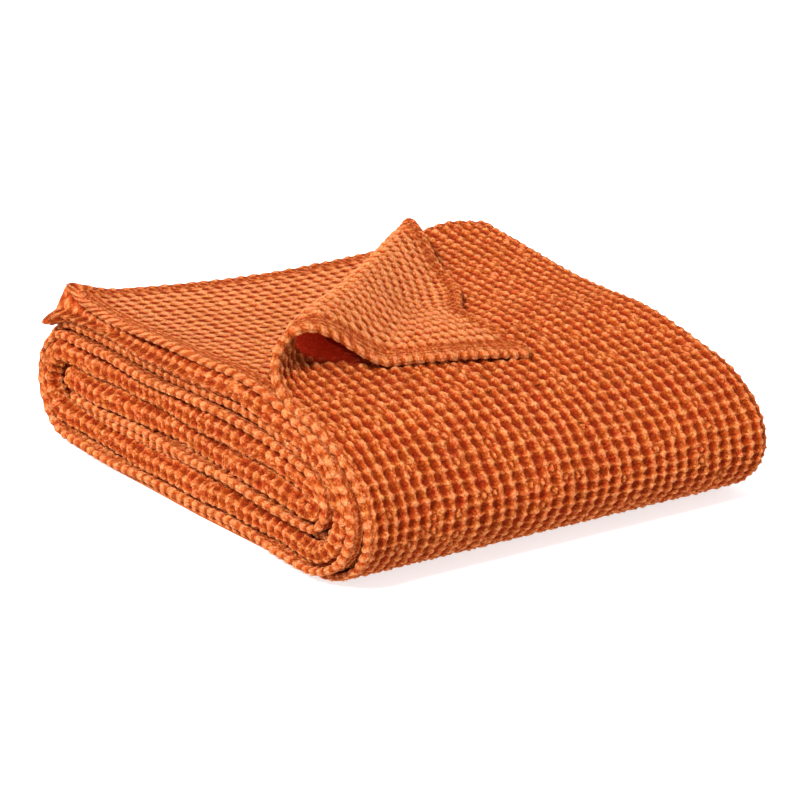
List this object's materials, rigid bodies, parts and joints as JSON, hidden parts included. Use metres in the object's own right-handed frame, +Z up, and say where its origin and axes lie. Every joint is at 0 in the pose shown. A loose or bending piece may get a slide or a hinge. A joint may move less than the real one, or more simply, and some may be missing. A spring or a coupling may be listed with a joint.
{
  "type": "folded waffle weave cotton blanket",
  "caption": "Thick waffle weave cotton throw folded into a soft square pad, with the free corner of its top layer rolled back over the top.",
  "frame": {"origin": "middle of the floor under the folded pad", "axes": "+Z up, +Y from the long outer fold at the front to the loose ends at the back, +X along the long outer fold, away from the end where the side hems show"},
  "size_m": [0.3436, 0.3862, 0.138],
  "materials": {
    "waffle_cotton": "matt burnt-orange cotton in a deep square waffle of about 9 mm, soft and fibrous, with a faint sheen at grazing angles"
  },
  "bodies": {
    "root": {"blanket": "waffle_cotton"}
  },
  "joints": []
}
